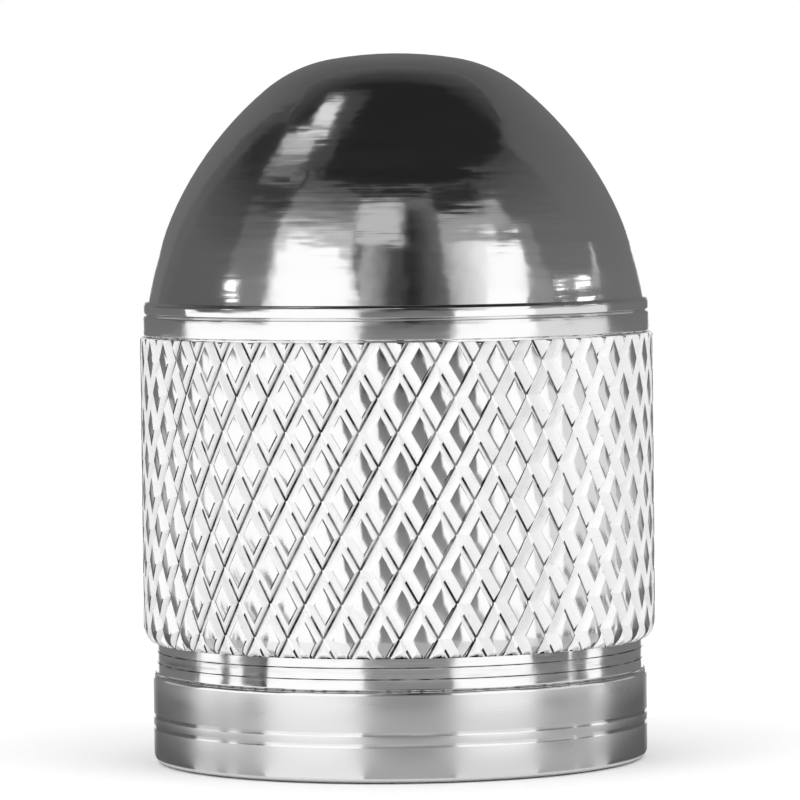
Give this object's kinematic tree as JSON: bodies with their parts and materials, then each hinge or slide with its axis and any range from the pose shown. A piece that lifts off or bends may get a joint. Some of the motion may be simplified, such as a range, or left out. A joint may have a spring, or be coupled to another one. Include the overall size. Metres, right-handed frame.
{
  "type": "tyre valve cap",
  "caption": "Domed metal tyre valve cap with a diamond-knurled grip, a plain collar, and a blind bore for the valve stem with a rubber sealing washer at its end.",
  "frame": {"origin": "on the cap's axis, in the plane of its open base", "axes": "+Z along the axis towards the dome; the cap is alike all round, so +X and +Y lie anywhere in the base plane"},
  "size_m": [0.0102, 0.0102, 0.014],
  "materials": {
    "polished_metal": "polished",
    "seal_rubber": "matte"
  },
  "bodies": {
    "root": {"cap_body": "polished_metal", "sealing_washer": "seal_rubber"}
  },
  "joints": []
}
